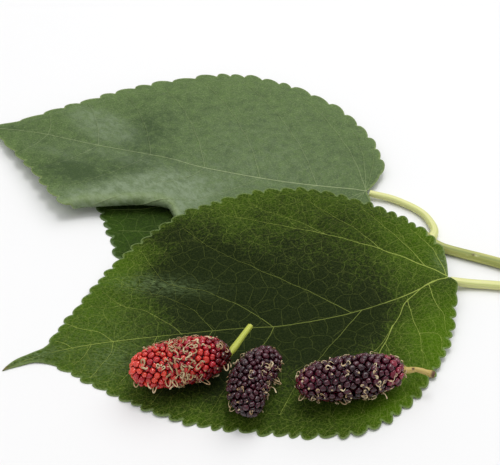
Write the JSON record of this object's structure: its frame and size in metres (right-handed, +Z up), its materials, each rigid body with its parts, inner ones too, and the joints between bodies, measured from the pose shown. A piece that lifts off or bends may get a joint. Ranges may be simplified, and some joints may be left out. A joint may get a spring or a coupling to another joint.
{
  "type": "mulberry sprig",
  "caption": "Cut green shoot lying flat with toothed, veined, drip-tipped leaves on petioles and ripening compound berries resting on the nearest leaf.",
  "frame": {"origin": "middle of the sprig's bounding box, on the surface it lies on", "axes": "+X towards the cut end of the shoot, +Y away from the berries, +Z up"},
  "size_m": [0.1914, 0.1518, 0.0143],
  "materials": {
    "front_blade": "semi-gloss waxy leaf, deep green with pale net",
    "back_blade": "matt grey-green leaf with soft sheen",
    "lower_blade": "dark green leaf",
    "shoot_skin": "smooth olive-green shoot with a darker stripe",
    "petiole_skin": "smooth pale yellow-green",
    "red_drupelets": "juicy, glossy, orange-red to crimson",
    "dark_drupelets": "juicy, glossy, purple-black",
    "berry_stalk": "fibrous yellow-green"
  },
  "bodies": {
    "root": {"front_leaf": "front_blade", "back_leaf": "back_blade", "lower_leaf": "lower_blade", "shoot": "shoot_skin", "front_petiole": "petiole_skin", "back_petiole": "petiole_skin", "lower_petiole": "petiole_skin", "red_berry": "red_drupelets", "curved_berry": "dark_drupelets", "dark_berry": "dark_drupelets", "red_berry_stalk": "berry_stalk", "dark_berry_stalk": "berry_stalk"}
  },
  "joints": []
}
